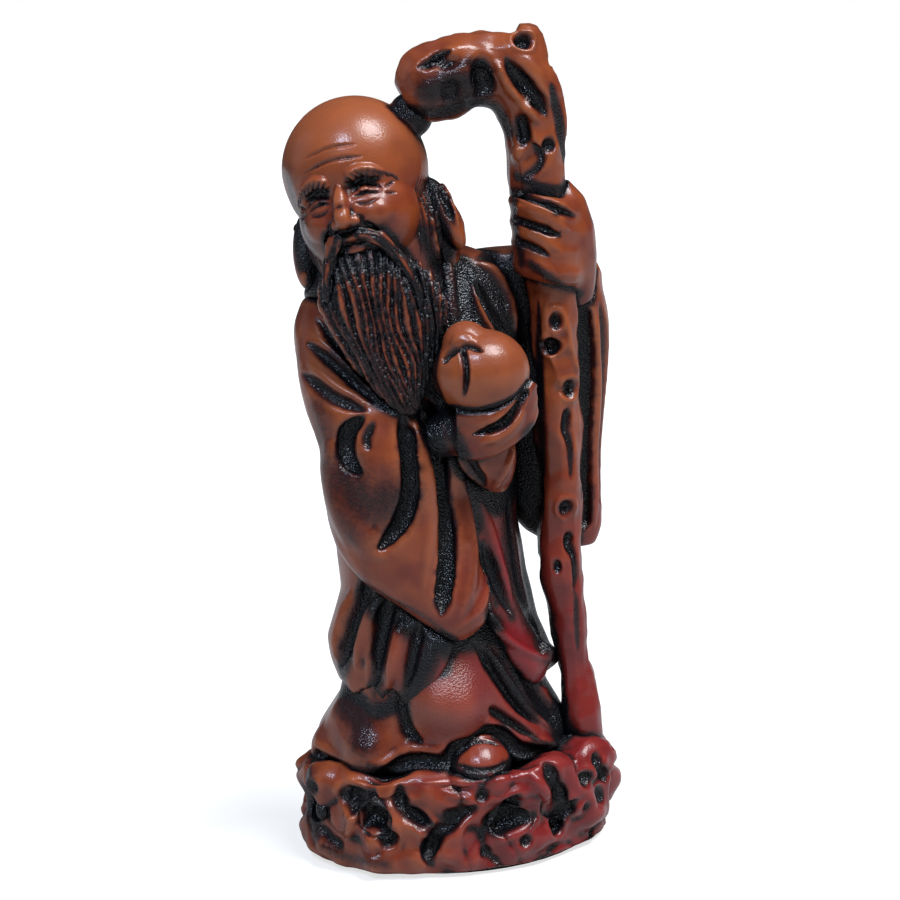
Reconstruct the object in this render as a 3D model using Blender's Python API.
"""A standing old man with a gnarled staff and a peach, cast in resin in pieces and glued up on dowels.

Units are metres, +Z is up, and the figure faces -Y. The origin is the middle of the felt under the rock.
"""

import math

import bmesh
import bpy
import numpy as np
from mathutils import Euler, Matrix, Vector

MM = 0.001

# Glue gap between every two pieces that seat in each other.
GLUE_GAP = 0.3 * MM

# Rock plinth and the felt glued under it.
FELT_THICKNESS = 1.0 * MM
FELT_INSET = 3.0 * MM
ROCK_WIDTH = 72.0 * MM
ROCK_DEPTH = 55.0 * MM
ROCK_HEIGHT = 22.0 * MM
ROCK_LEAN = 1.8 * MM
ROCK_FOOT = 0.96

# Under robe: the bell that stands on the rock.
UNDER_ROBE_HEIGHT = 40.0 * MM
HEM_WIDTH = 59.0 * MM
HEM_DEPTH = 41.0 * MM
HEM_SEAT = 1.0 * MM
HEM_FOLDS = 9

# Outer robe: it falls open in front, round an angle seen from above, and has folds.
OPENING_ANGLE = -70.0
OPENING_HALF = 38.0
OPENING_RISE = 20.0 * MM
FOLD_HALF = 6.0

# Bands cut into the hanging right sleeve.
BAND_WIDTH = 4.4 * MM
BAND_DEPTH = 2.0 * MM

# Shoe that shows under the hem, set a little deeper into the rock than the robe.
SHOE_SEAT = 1.6 * MM
SHOE_WIDTH = 14.0 * MM
SHOE_LENGTH = 17.0 * MM
SHOE_HEIGHT = 8.0 * MM

# Head, measured in its own frame: the face looks along -Y.
SKULL_RADIUS = 15.6 * MM
FACE_WIDTH = 26.0 * MM
FACE_HEIGHT = 24.0 * MM
FACE_DEPTH = 24.0 * MM
NOSE_LENGTH = 7.5 * MM
NOSE_WIDTH = 5.5 * MM
EAR_LENGTH = 17.0 * MM
EAR_WIDTH = 7.0 * MM
EAR_THICKNESS = 5.5 * MM
NAPE_WIDTH = 29.0 * MM
NAPE_HEIGHT = 36.0 * MM
NECK_DIAMETER = 19.0 * MM
NECK_LENGTH = 25.0 * MM

# Peach, hands and staff.
PEACH_WIDTH = 20.0 * MM
PEACH_HEIGHT = 17.5 * MM
FINGER_DIAMETER = 4.6 * MM
STAFF_DIAMETER = 9.2 * MM

# Dowels that carry the glue joints.
DOWEL_DIAMETER = 3.0 * MM
DOWEL_LENGTH = 14.0 * MM

# Places in the figure's frame, whose zero is the middle of the rock's top.
HEAD_PLACE = Vector((-11.9, -3.0, 125.2)) * MM
HEAD_TURN = Euler((math.radians(-5), math.radians(-12), math.radians(-14)))
PEACH_PLACE = Vector((10.7, -21.0, 87.9)) * MM
STAFF_PLACE = Vector((28.0, -2.5, 0.0)) * MM
SHOE_PLACE = Vector((4.6, -16.5, 0.0)) * MM


def clear_scene():
    for item in list(bpy.data.objects):
        bpy.data.objects.remove(item)


def finish(name, colour, roughness, metallic):
    material = bpy.data.materials.new(name)
    material.use_nodes = True
    shader = material.node_tree.nodes["Principled BSDF"]
    shader.inputs["Base Color"].default_value = (*colour, 1.0)
    shader.inputs["Roughness"].default_value = roughness
    shader.inputs["Metallic"].default_value = metallic
    return material


def empty(name, place, parent=None, turn=None):
    frame = bpy.data.objects.new(name, None)
    bpy.context.collection.objects.link(frame)
    frame.location = place
    frame.parent = parent
    if turn:
        frame.rotation_euler = turn
    return frame


def smooth_rows(stations, steps):
    """Rows on a smooth curve through the stations, each a tuple of numbers."""
    rows = np.array(stations, float)
    ends = np.vstack([2 * rows[0] - rows[1], rows, 2 * rows[-1] - rows[-2]])
    found = []
    for before, start, end, after in zip(ends, ends[1:], ends[2:], ends[3:]):
        for step in range(steps):
            t = step / steps
            found.append(
                start
                + (end - before) * t / 2
                + (before - 2.5 * start + 2 * end - after / 2) * t**2
                + (1.5 * start - before / 2 - 1.5 * end + after / 2) * t**3
            )
    return found + [rows[-1]]


def skin(rings):
    """A closed mesh over rings of points, which all have as many points, with a flat cap at each end."""
    mesh = bmesh.new()
    loops = [[mesh.verts.new(point) for point in ring] for ring in rings]
    for low, high in zip(loops, loops[1:]):
        for here, beside in zip(range(len(low)), [*range(1, len(low)), 0]):
            mesh.faces.new((low[here], low[beside], high[beside], high[here]))
    mesh.faces.new(loops[0])
    mesh.faces.new(loops[-1])
    bmesh.ops.recalc_face_normals(mesh, faces=mesh.faces)
    return mesh


def angles(segments):
    return [2 * math.pi * index / segments for index in range(segments)]


def loft(stations, segments, steps, ripple=None):
    """A skin over level ovals: each station is height, x, y, width and depth in millimetres."""
    rings = []
    for height, x, y, width, depth in smooth_rows(stations, steps):
        ring = []
        for angle in angles(segments):
            swell, lift = ripple(angle, height) if ripple else (1.0, 0.0)
            across = x + width / 2 * swell * math.cos(angle)
            back = y + depth / 2 * swell * math.sin(angle)
            ring.append(Vector((across, back, height + lift)) * MM)
        rings.append(ring)
    return skin(rings)


def limb(stations, segments, steps, side=(0, 1, 0)):
    """A skin along a path: each station is x, y, z, then the widths along and across side, in millimetres."""
    rows = smooth_rows(stations, steps)
    places = [Vector(row[:3]) for row in rows]
    rings = []
    for index, row in enumerate(rows):
        along = places[min(index + 1, len(rows) - 1)] - places[max(index - 1, 0)]
        along.normalize()
        first = Vector(side) - along * along.dot(Vector(side))
        first.normalize()
        second = along.cross(first)
        ring = []
        for angle in angles(segments):
            out = first * row[3] / 2 * math.cos(angle) + second * row[4] / 2 * math.sin(angle)
            ring.append((places[index] + out) * MM)
        rings.append(ring)
    return skin(rings)


def ball(width, depth, height, place=(0, 0, 0), turn=None, segments=14, rings=9):
    mesh = bmesh.new()
    bmesh.ops.create_uvsphere(mesh, u_segments=segments, v_segments=rings, radius=0.5)
    bmesh.ops.scale(mesh, vec=(width, depth, height), verts=mesh.verts)
    if turn:
        bmesh.ops.rotate(mesh, matrix=turn.to_matrix(), verts=mesh.verts)
    bmesh.ops.translate(mesh, vec=place, verts=mesh.verts)
    return mesh


def drum(diameter, length, segments=16):
    mesh = bmesh.new()
    bmesh.ops.create_cone(
        mesh, cap_ends=True, segments=segments, radius1=diameter / 2, radius2=diameter / 2, depth=length
    )
    return mesh


class Piece:
    """One node: a first form, further forms joined to it, and grown copies of them all that cut its seats."""

    def __init__(self, name, forms, material, parent, place=(0, 0, 0), turn=None):
        self.name = name
        self.seat = bpy.data.collections.new(name + "_seat")
        bpy.context.scene.collection.children.link(self.seat)
        self.parent, self.place, self.turn = parent, place, turn
        self.body = self.form(name, forms[0])
        self.body.data.materials.append(material)
        for index, other in enumerate(forms[1:]):
            guide = self.form(f"{name}_form_{index + 1}", other)
            self.hide(guide)
            self.cut(guide, "UNION")

    def form(self, name, mesh):
        data = bpy.data.meshes.new(name)
        mesh.to_mesh(data)
        mesh.free()
        data.shade_smooth()
        shown = self.put(name, data, bpy.context.scene.collection)
        grown = self.put(name + "_grown", data, self.seat)
        swell = grown.modifiers.new("glue gap", "DISPLACE")
        swell.strength = GLUE_GAP
        swell.mid_level = 0.0
        self.hide(grown)
        return shown

    def put(self, name, data, collection):
        made = bpy.data.objects.new(name, data)
        collection.objects.link(made)
        made.parent = self.parent
        made.location = self.place
        if self.turn:
            made.rotation_euler = self.turn
        return made

    @staticmethod
    def hide(guide):
        guide.hide_render = True
        guide.display_type = "WIRE"

    def cut(self, other, operation="DIFFERENCE"):
        boolean = self.body.modifiers.new(other.name, "BOOLEAN")
        boolean.operation = operation
        boolean.object = other

    def reach(self):
        """The lowest and highest corners of all its grown forms."""
        forms = self.seat.objects
        corners = [grown.matrix_world @ Vector(corner) for grown in forms for corner in grown.bound_box]
        return Vector(map(min, zip(*corners))), Vector(map(max, zip(*corners)))

    def meets(self, other):
        (low, high), (other_low, other_high) = self.reach(), other.reach()
        return all(low[axis] < other_high[axis] and other_low[axis] < high[axis] for axis in range(3))

    def seats(self, *others):
        """Cuts the room that the other pieces need, with the glue gap round them."""
        for other in others:
            for grown in other.seat.objects:
                self.cut(grown)


def rock_outline(angle, height):
    """Lumps of the rock: how far the outline swells at an angle, and more so at mid height."""
    lumps = 0.02 * math.cos(3 * angle + 0.6) + 0.018 * math.cos(7 * angle + 1.9)
    lumps += 0.014 * math.cos(12 * angle)
    return 1 + lumps * (0.6 + 0.4 * math.sin(height / (ROCK_HEIGHT / MM) * math.pi)), 0.0


# Hollows worn into the rock: angle in degrees, height, width, tallness and depth in millimetres.
ROCK_HOLLOWS = (
    (-122, 13.0, 9.0, 8.0, 5.0),
    (-104, 6.5, 6.0, 6.5, 3.5),
    (-95, 14.0, 7.0, 4.5, 3.0),
    (-80, 15.5, 4.5, 4.0, 3.0),
    (-72, 10.0, 9.0, 7.0, 4.0),
    (-52, 12.0, 7.0, 9.0, 4.0),
    (-30, 10.0, 7.0, 6.5, 4.0),
    (-158, 12.0, 6.0, 8.0, 4.0),
    (15, 9.0, 8.0, 7.0, 4.0),
    (62, 12.0, 9.0, 8.0, 4.0),
    (100, 9.0, 8.0, 6.5, 4.0),
    (138, 12.0, 9.0, 8.0, 4.0),
    (172, 8.0, 6.0, 6.0, 3.5),
)


def rock_stations():
    """The rock's foot is drawn in, and stands further to the figure's right than its top."""
    width, depth, height, lean = ROCK_WIDTH / MM, ROCK_DEPTH / MM, ROCK_HEIGHT / MM, ROCK_LEAN / MM
    profile = ((0.0, ROCK_FOOT), (0.18, 0.98), (0.5, 0.99), (0.8, 0.99), (0.95, 0.95), (1.0, 0.88))
    return [(height * up, -lean * (1 - up), 0, width * girth, depth * girth) for up, girth in profile]


def make_rock(material):
    floor = empty("rock_frame", (0, 0, FELT_THICKNESS))
    rock = Piece("rock_base", [loft(rock_stations(), 36, 1, rock_outline)], material, floor)
    for index, (turn, height, width, tall, depth) in enumerate(ROCK_HOLLOWS):
        angle = math.radians(turn)
        out = Vector((math.cos(angle) * ROCK_WIDTH, math.sin(angle) * ROCK_DEPTH, 0)) / 2
        mesh = ball(width * MM, 2 * depth * MM, tall * MM, segments=8, rings=6)
        heading = math.atan2(out.y, out.x) - math.pi / 2
        bmesh.ops.rotate(mesh, matrix=Matrix.Rotation(heading, 3, "Z"), verts=mesh.verts)
        bmesh.ops.translate(mesh, vec=out + Vector((0, 0, height * MM)), verts=mesh.verts)
        data = bpy.data.meshes.new(f"hollow_{index}")
        mesh.to_mesh(data)
        mesh.free()
        hollow = rock.put(f"hollow_{index}", data, bpy.context.scene.collection)
        Piece.hide(hollow)
        rock.cut(hollow)
    return rock


def make_felt(material):
    height = (FELT_THICKNESS - GLUE_GAP) / MM
    inset = FELT_INSET + ROCK_LEAN
    width, depth = (ROCK_WIDTH * ROCK_FOOT - 2 * inset) / MM, (ROCK_DEPTH * ROCK_FOOT - 2 * FELT_INSET) / MM
    pad = loft([(0, 0, 0, width, depth), (height, 0, 0, width, depth)], 40, 1)
    return Piece("felt_pad", [pad], material, None)


def make_under_robe(material, figure):
    top = UNDER_ROBE_HEIGHT / MM
    width, depth = HEM_WIDTH / MM, HEM_DEPTH / MM

    def folds(angle, height):
        deep = 0.05 * max(0.0, 1 - height / top) ** 1.5
        return 1 + deep * math.cos(HEM_FOLDS * angle + 0.8), 0.0

    stations = (
        (-HEM_SEAT / MM, -3.6, 0.0, width - 0.5, depth),
        (3.5, -3.7, 0.0, width - 1.5, depth - 1.0),
        (8.0, -3.2, 0.0, width - 7.0, depth - 2.5),
        (13.0, -2.6, -0.5, width - 13.0, depth - 4.0),
        (26.0, -2.5, -0.5, width - 19.5, depth - 6.0),
        (top, -3.0, 0.0, width - 24.0, depth - 12.0),
    )
    return Piece("under_robe", [loft(stations, 36, 1, folds)], material, figure)


# Folds of the outer robe: angle at the hem and turn up to the top in degrees, depth and top in millimetres.
ROBE_FOLDS = (
    (-140, 6, 2.0, 50),
    (-122, 8, 2.0, 46),
    (-46, -10, 1.6, 66),
    (-12, 4, 1.6, 96),
    (16, 6, 1.6, 90),
    (42, 4, 2.0, 102),
    (68, 0, 1.7, 92),
    (94, -2, 2.0, 104),
    (120, -4, 1.7, 94),
    (146, -6, 2.0, 100),
    (172, -4, 1.6, 84),
)


def fold_depth(turn, height):
    """How deep the folds are at an angle in degrees and a height, in millimetres."""
    depth = 0.0
    for foot, lean, deep, top in ROBE_FOLDS:
        up = min(1.0, max(0.0, height / top))
        off = (turn - foot - lean * up + 180) % 360 - 180
        depth += deep * math.exp(-((off / FOLD_HALF) ** 2)) * (1 - up) ** 0.4
    return depth


def make_over_robe(material, figure):
    def hem(angle, height):
        """The hem hangs low at the sides and is drawn up in front, where the robe falls open."""
        turn = math.degrees(angle)
        off = ((turn - OPENING_ANGLE + 180) % 360 - 180) / OPENING_HALF
        low = max(0.0, 1 - (height - 15.0) / 26.0)
        drawn = math.cos(math.pi / 2 * min(1.0, abs(off))) ** 2
        return 1 - fold_depth(turn, height) / 22.0, OPENING_RISE / MM * drawn * low

    stations = (
        (17.0, -1.5, 0.5, 34.0, 30.0),
        (14.5, -1.5, 0.5, 47.0, 42.0),
        (18.0, -1.4, 0.5, 49.3, 44.0),
        (22.0, -2.5, 0.5, 49.0, 44.0),
        (27.0, -3.6, 0.5, 47.7, 42.5),
        (38.0, -2.6, 0.5, 42.0, 39.0),
        (52.0, -3.4, 0.5, 40.8, 36.5),
        (67.0, -3.4, 1.0, 42.0, 36.0),
        (82.0, -3.0, 2.0, 46.0, 34.0),
        (97.0, -3.0, 3.0, 49.0, 29.0),
        (105.0, -3.0, 3.5, 46.0, 24.0),
        (110.0, -4.0, 3.5, 39.0, 20.0),
        (112.5, -6.0, 3.5, 24.0, 14.0),
    )
    return Piece("over_robe", [loft(stations, 48, 1, hem)], material, figure)


# Middles of the sleeve's bands from the wrist down, on its skin: x, y and height in millimetres.
SLEEVE_BANDS = (
    ((-6.2, -21.6, 77.5), (-5.7, -23.1, 71.0), (-6, -23.8, 63.0), (-9.7, -24.1, 56.0), (-14.4, -22.9, 51.3)),
    ((-1.6, -18.8, 77.0), (0.0, -20.0, 69.5), (0.9, -20.6, 61.5), (1.0, -21.5, 53.0), (-1.0, -23.4, 39.0)),
    ((-15.4, -21.4, 79.6), (-18.4, -21.1, 76.8), (-18.9, -21.4, 71.6), (-16.2, -22.6, 68.4)),
)


def make_right_sleeve(material, figure):
    stations = (
        (103.0, -22.5, 1.0, 8.0, 9.0),
        (98.5, -21.8, -0.5, 13.5, 16.0),
        (94.0, -21.3, -2.0, 15.5, 19.0),
        (87.0, -18.6, -5.0, 20.0, 23.0),
        (81.0, -13.0, -9.0, 28.6, 25.0),
        (70.0, -10.3, -11.5, 28.8, 24.5),
        (59.6, -9.5, -12.5, 29.7, 23.5),
        (50.5, -8.2, -13.5, 29.6, 21.0),
        (44.0, -5.2, -15.5, 26.5, 17.0),
        (38.0, -0.8, -17.5, 19.5, 13.0),
        (33.0, 1.6, -18.5, 12.6, 9.5),
        (29.5, 1.6, -19.0, 4.0, 4.0),
    )
    sleeve = Piece("right_sleeve", [loft(stations, 20, 2)], material, figure)
    deep, wide = 2 * BAND_DEPTH / MM, BAND_WIDTH / MM
    for index, places in enumerate(SLEEVE_BANDS):
        girths = [0.3] + [1.0] * (len(places) - 2) + [0.4]
        line = [(*place, deep * girth, wide * girth) for place, girth in zip(places, girths)]
        data = bpy.data.meshes.new(f"band_{index}")
        mesh = limb(line, 8, 2)
        mesh.to_mesh(data)
        mesh.free()
        band = sleeve.put(f"band_{index}", data, bpy.context.scene.collection)
        Piece.hide(band)
        sleeve.cut(band)
    return sleeve


def make_left_sleeve(material, figure):
    stations = (
        (110.5, 18.0, 6.0, 15.0, 8.0),
        (107.0, 23.5, 7.0, 29.0, 15.0),
        (100.0, 26.6, 8.0, 26.0, 17.0),
        (92.0, 28.0, 8.5, 25.4, 17.0),
        (80.0, 27.4, 8.5, 24.6, 16.0),
        (65.0, 26.2, 8.0, 22.8, 15.0),
        (54.0, 25.6, 7.0, 22.0, 12.5),
        (46.5, 27.6, 6.5, 17.6, 9.5),
        (42.0, 30.5, 6.0, 8.0, 5.0),
    )
    return Piece("left_sleeve", [loft(stations, 16, 2)], material, figure)


def neck_foot():
    """Where the neck ends, in the head's frame."""
    return Vector((0.2 * NECK_DIAMETER, 0.3 * NECK_DIAMETER, -NECK_LENGTH))


def make_head(material, figure):
    brow = SKULL_RADIUS * 0.35
    face = Vector((0, -0.2 * FACE_DEPTH, -0.19 * FACE_HEIGHT))
    nose = face + Vector((0, -0.49 * FACE_DEPTH, 0))
    nape = face + Vector((0, 0.3 * FACE_DEPTH, -0.1 * NAPE_HEIGHT))
    thick = NECK_DIAMETER / MM
    neck = ((0, 2.0, 0, thick, thick), (*(neck_foot() / MM), thick, thick))
    forms = [
        ball(2 * SKULL_RADIUS, 2 * SKULL_RADIUS, 2 * SKULL_RADIUS, (0, 0, brow), segments=20, rings=13),
        ball(FACE_WIDTH, FACE_DEPTH, FACE_HEIGHT, face, segments=18, rings=12),
        ball(NOSE_WIDTH, NOSE_WIDTH, NOSE_LENGTH, nose, segments=8, rings=6),
        ball(NAPE_WIDTH, 0.78 * NAPE_WIDTH, NAPE_HEIGHT, nape, segments=16, rings=10),
        limb(neck, 14, 1),
    ]
    for side in (-1, 1):
        place = nape + Vector((side * 0.55 * NAPE_WIDTH, 0.1 * EAR_WIDTH, -0.02 * EAR_LENGTH))
        lean = Euler((math.radians(-8), math.radians(side * -10), math.radians(side * 30)))
        forms.append(ball(EAR_THICKNESS, EAR_WIDTH, EAR_LENGTH, place, lean, segments=10, rings=8))
    return Piece("head", forms, material, figure, HEAD_PLACE, HEAD_TURN)


def make_beard(material, figure):
    def strands(angle, height):
        return 1 + 0.05 * math.cos(16 * angle), 0.0

    stations = (
        (115.0, -12.0, -15.5, 10.0, 6.0),
        (111.0, -10.5, -16.0, 19.0, 9.0),
        (105.0, -9.3, -16.5, 24.5, 10.0),
        (98.0, -7.9, -16.8, 23.5, 10.0),
        (90.0, -7.2, -18.0, 15.5, 9.0),
        (84.0, -6.2, -19.5, 8.0, 7.0),
        (80.5, -5.0, -20.0, 3.5, 4.0),
    )
    return Piece("beard", [loft(stations, 32, 2, strands)], material, figure)


def make_moustache(name, spread, fall, material, figure):
    """One long lock from beside the nose, over the cheek and down along the beard."""
    side = math.copysign(0.3, spread)
    lip = Vector((side * NOSE_WIDTH, -0.68 * FACE_DEPTH, -0.33 * FACE_HEIGHT))
    x, y, z = (HEAD_PLACE + HEAD_TURN.to_matrix() @ lip) / MM
    stations = (
        (x, y, z, 2.0, 2.0),
        (x + 0.36 * spread, y + 0.6, z - 0.1 * fall, 3.0, 3.4),
        (x + 0.7 * spread, y + 1.4, z - 0.35 * fall, 3.2, 3.2),
        (x + 0.93 * spread, y + 1.2, z - 0.7 * fall, 3.0, 2.8),
        (x + spread, y + 0.8, z - fall, 1.8, 1.6),
    )
    return Piece(name, [limb(stations, 8, 2)], material, figure)


def make_peach(material, figure):
    width, height = PEACH_WIDTH, PEACH_HEIGHT
    tip = Vector((-0.15, 0, 0.32)) * height
    lean = Euler((0, math.radians(-24), 0))
    forms = [
        ball(width, 0.92 * width, height, segments=18, rings=12),
        ball(0.5 * width, 0.5 * width, 0.6 * height, tip, lean, segments=12, rings=8),
    ]
    return Piece("peach", forms, material, figure, PEACH_PLACE)


def make_right_hand(material, figure):
    thick = FINGER_DIAMETER / MM
    x, y, z = PEACH_PLACE / MM
    under = PEACH_HEIGHT / MM / 2
    out = PEACH_WIDTH / MM / 2
    palm = (
        (x - out - 1.0, y + 5.0, z - under - 5.5, 11.0, 9.0),
        (x - 0.3 * out, y + 3.5, z - under - 3.5, 13.0, 9.5),
        (x + 0.5 * out, y + 3.0, z - under - 0.5, 11.5, 8.0),
        (x + out, y + 3.0, z - 0.35 * under, 7.5, 4.0),
    )
    forms = [limb(palm, 14, 2)]
    for index in range(3):
        drop = index * 0.86 * thick
        ahead = y - 0.36 * out + 0.15 * drop
        finger = (
            (x - 0.55 * out, ahead + 1.0, z - under * 0.95 - drop, thick, thick),
            (x + 0.1 * out, ahead - 0.6, z - under * 0.92 - 0.9 * drop, thick, thick),
            (x + 0.75 * out, ahead + 0.8, z - under * 0.6 - 0.8 * drop, thick * 0.95, thick * 0.95),
            (x + 1.02 * out, ahead + 2.4, z - under * 0.3 - 0.75 * drop, thick * 0.7, thick * 0.7),
        )
        forms.append(limb(finger, 8, 2))
    return Piece("right_hand", forms, material, figure)


def make_right_cuff(material, figure):
    """The inner sleeve, which hangs from the wrist under the hand."""
    x, y, z = PEACH_PLACE / MM
    stations = (
        (z - 11.0, x - 2.5, y + 6.0, 11.0, 9.0),
        (z - 15.0, x - 1.2, y + 5.5, 14.0, 12.0),
        (z - 20.5, x - 0.2, y + 6.0, 13.0, 12.0),
        (z - 25.0, x + 1.2, y + 7.0, 8.0, 8.0),
        (z - 27.5, x + 2.2, y + 7.5, 3.0, 3.0),
    )
    return Piece("right_cuff", [loft(stations, 14, 2)], material, figure)


# The staff's line from foot to crook: x and z from its foot, depth, and thickness as a share of its diameter.
STAFF_LINE = (
    (0.3, -2.0, 0.0, 0.95),
    (0.1, 8.0, 0.0, 0.91),
    (-0.2, 17.0, 0.2, 0.82),
    (-0.7, 27.0, 0.3, 0.88),
    (-1.5, 38.0, 0.0, 1.06),
    (-1.6, 46.0, 0.0, 1.12),
    (-0.9, 57.0, -0.3, 1.05),
    (-0.5, 74.0, 0.0, 1.06),
    (-0.5, 92.0, 0.3, 1.04),
    (-1.0, 108.0, 0.8, 1.1),
    (-1.6, 122.0, 1.2, 1.3),
    (-2.0, 131.0, 1.5, 1.4),
    (-2.0, 138.0, 1.5, 1.45),
    (-4.4, 146.0, 1.2, 1.6),
    (-9.0, 149.6, 0.6, 1.68),
    (-15.5, 149.8, -0.4, 1.75),
    (-21.5, 148.2, -1.2, 1.85),
    (-26.5, 146.4, -1.5, 1.55),
    (-29.6, 145.0, -1.5, 0.75),
)

# Knots worn into the staff: height on it, sideways place, width and tallness, in millimetres.
STAFF_KNOTS = (
    (37.0, 1.0, 3.0, 8.0),
    (52.0, 0.4, 3.0, 4.4),
    (66.0, 0.6, 2.4, 8.0),
    (80.0, 0.2, 3.4, 4.4),
    (90.0, -1.8, 3.6, 6.0),
    (131.0, -3.5, 6.0, 8.0),
    (143.5, -4.5, 4.0, 11.0),
    (146.0, -12.0, 6.0, 6.0),
    (152.0, -19.5, 8.0, 4.0),
)


def make_staff(material, figure):
    thick = STAFF_DIAMETER / MM
    line = [(x, y, z, share * thick, share * thick) for x, z, y, share in STAFF_LINE]
    spur = ((-5.0, 1.0, 147.0, 12.0, 12.0), (-2.4, 1.0, 153.0, 9.0, 9.0), (-1.8, 0.5, 158.0, 4.5, 4.0))
    staff = Piece("staff", [limb(line, 10, 2), limb(spur, 8, 2)], material, figure, STAFF_PLACE)
    for index, (height, x, width, tall) in enumerate(STAFF_KNOTS):
        near = min(STAFF_LINE, key=lambda row: abs(row[1] - height) + 0.5 * abs(row[0] - x))
        front = near[2] - near[3] * thick / 2
        mesh = ball(width * MM, 5 * MM, tall * MM, Vector((x, front - 0.3, height)) * MM, segments=8, rings=6)
        data = bpy.data.meshes.new(f"knot_{index}")
        mesh.to_mesh(data)
        mesh.free()
        knot = staff.put(f"knot_{index}", data, bpy.context.scene.collection)
        Piece.hide(knot)
        staff.cut(knot)
    return staff


def make_left_hand(material, figure):
    thick = FINGER_DIAMETER / MM
    x, y, _ = STAFF_PLACE / MM
    grip = STAFF_DIAMETER / MM / 2
    back = (
        (x + grip + 1.4, y + 5.5, 98.0, 8.0, 6.0),
        (x + grip + 0.2, y + 5.0, 102.0, 11.0, 9.5),
        (x + grip - 0.4, y + 3.6, 108.0, 13.5, 11.4),
        (x + grip - 0.7, y + 2.8, 114.0, 14.0, 11.6),
        (x + grip - 1.6, y + 2.4, 120.0, 12.0, 10.0),
        (x + grip - 2.6, y + 2.0, 124.0, 8.0, 6.0),
    )
    forms = [limb(back, 12, 1)]
    for index in range(4):
        height = 121.0 - index * 0.98 * thick
        finger = (
            (x + grip + 0.4, y - 0.5, height - 3.0, thick, thick),
            (x + 1.0, y - grip - 1.6, height - 1.5, thick, thick),
            (x - grip - 0.8, y - grip + 0.4, height, thick * 0.95, thick * 0.95),
            (x - grip - 2.6, y + 1.4, height + 0.6, thick * 0.6, thick * 0.6),
        )
        forms.append(limb(finger, 8, 2, side=(0, 0, 1)))
    return Piece("left_hand", forms, material, figure)


def make_shoe(material, figure):
    width, length, height = SHOE_WIDTH / MM, SHOE_LENGTH / MM, SHOE_HEIGHT / MM
    profile = ((0.0, 0.96), (0.25, 1.0), (0.6, 0.84), (0.85, 0.54), (1.0, 0.12))
    stations = [(height * up, 0, 0, width * girth, length * girth) for up, girth in profile]
    return Piece("shoe", [loft(stations, 16, 2)], material, figure, SHOE_PLACE - Vector((0, 0, SHOE_SEAT)))


def make_dowel(name, middle, along, material, figure):
    turn = Vector(along).to_track_quat("Z", "Y").to_euler()
    return Piece(name, [drum(DOWEL_DIAMETER, DOWEL_LENGTH)], material, figure, Vector(middle), turn)


def build():
    clear_scene()
    resin = finish("dark red resin", (0.25, 0.06, 0.03), 0.35, 0.0)
    felt = finish("black felt", (0.02, 0.02, 0.02), 0.95, 0.0)
    steel = finish("steel wire", (0.55, 0.55, 0.56), 0.35, 1.0)
    figure = empty("figure", (0, 0, FELT_THICKNESS + ROCK_HEIGHT))

    rock = make_rock(resin)
    make_felt(felt)
    under_robe = make_under_robe(resin, figure)
    over_robe = make_over_robe(resin, figure)
    right_sleeve = make_right_sleeve(resin, figure)
    left_sleeve = make_left_sleeve(resin, figure)
    head = make_head(resin, figure)
    beard = make_beard(resin, figure)
    left_lock = make_moustache("moustache_left", 12.5, 19.0, resin, figure)
    right_lock = make_moustache("moustache_right", -4.0, 14.0, resin, figure)
    peach = make_peach(resin, figure)
    right_hand = make_right_hand(resin, figure)
    right_cuff = make_right_cuff(resin, figure)
    staff = make_staff(resin, figure)
    left_hand = make_left_hand(resin, figure)
    shoe = make_shoe(resin, figure)

    up = (0, 0, 1)
    neck_place = HEAD_PLACE + HEAD_TURN.to_matrix() @ neck_foot()
    neck_dowel = make_dowel("neck_dowel", neck_place, up, steel, figure)
    waist_dowel = make_dowel("waist_dowel", (-3 * MM, 0, UNDER_ROBE_HEIGHT), up, steel, figure)
    rock_dowels = [
        make_dowel(f"rock_dowel_{name}", (x * MM, 2 * MM, 0), up, steel, figure)
        for name, x in (("right", -16), ("left", 11))
    ]
    staff_dowel = make_dowel("staff_dowel", STAFF_PLACE + Vector((0.6 * MM, 0, -2 * MM)), up, steel, figure)

    # Each piece makes room for those before it, so the first ones keep their whole form.
    order = [neck_dowel, waist_dowel, *rock_dowels, staff_dowel, peach, head, staff, right_hand, left_hand]
    order += [left_lock, right_lock, right_sleeve, left_sleeve, right_cuff, beard]
    order += [shoe, under_robe, over_robe, rock]
    bpy.context.view_layer.update()
    for index, piece in enumerate(order):
        piece.seats(*[other for other in order[:index] if piece.meets(other)])


build()
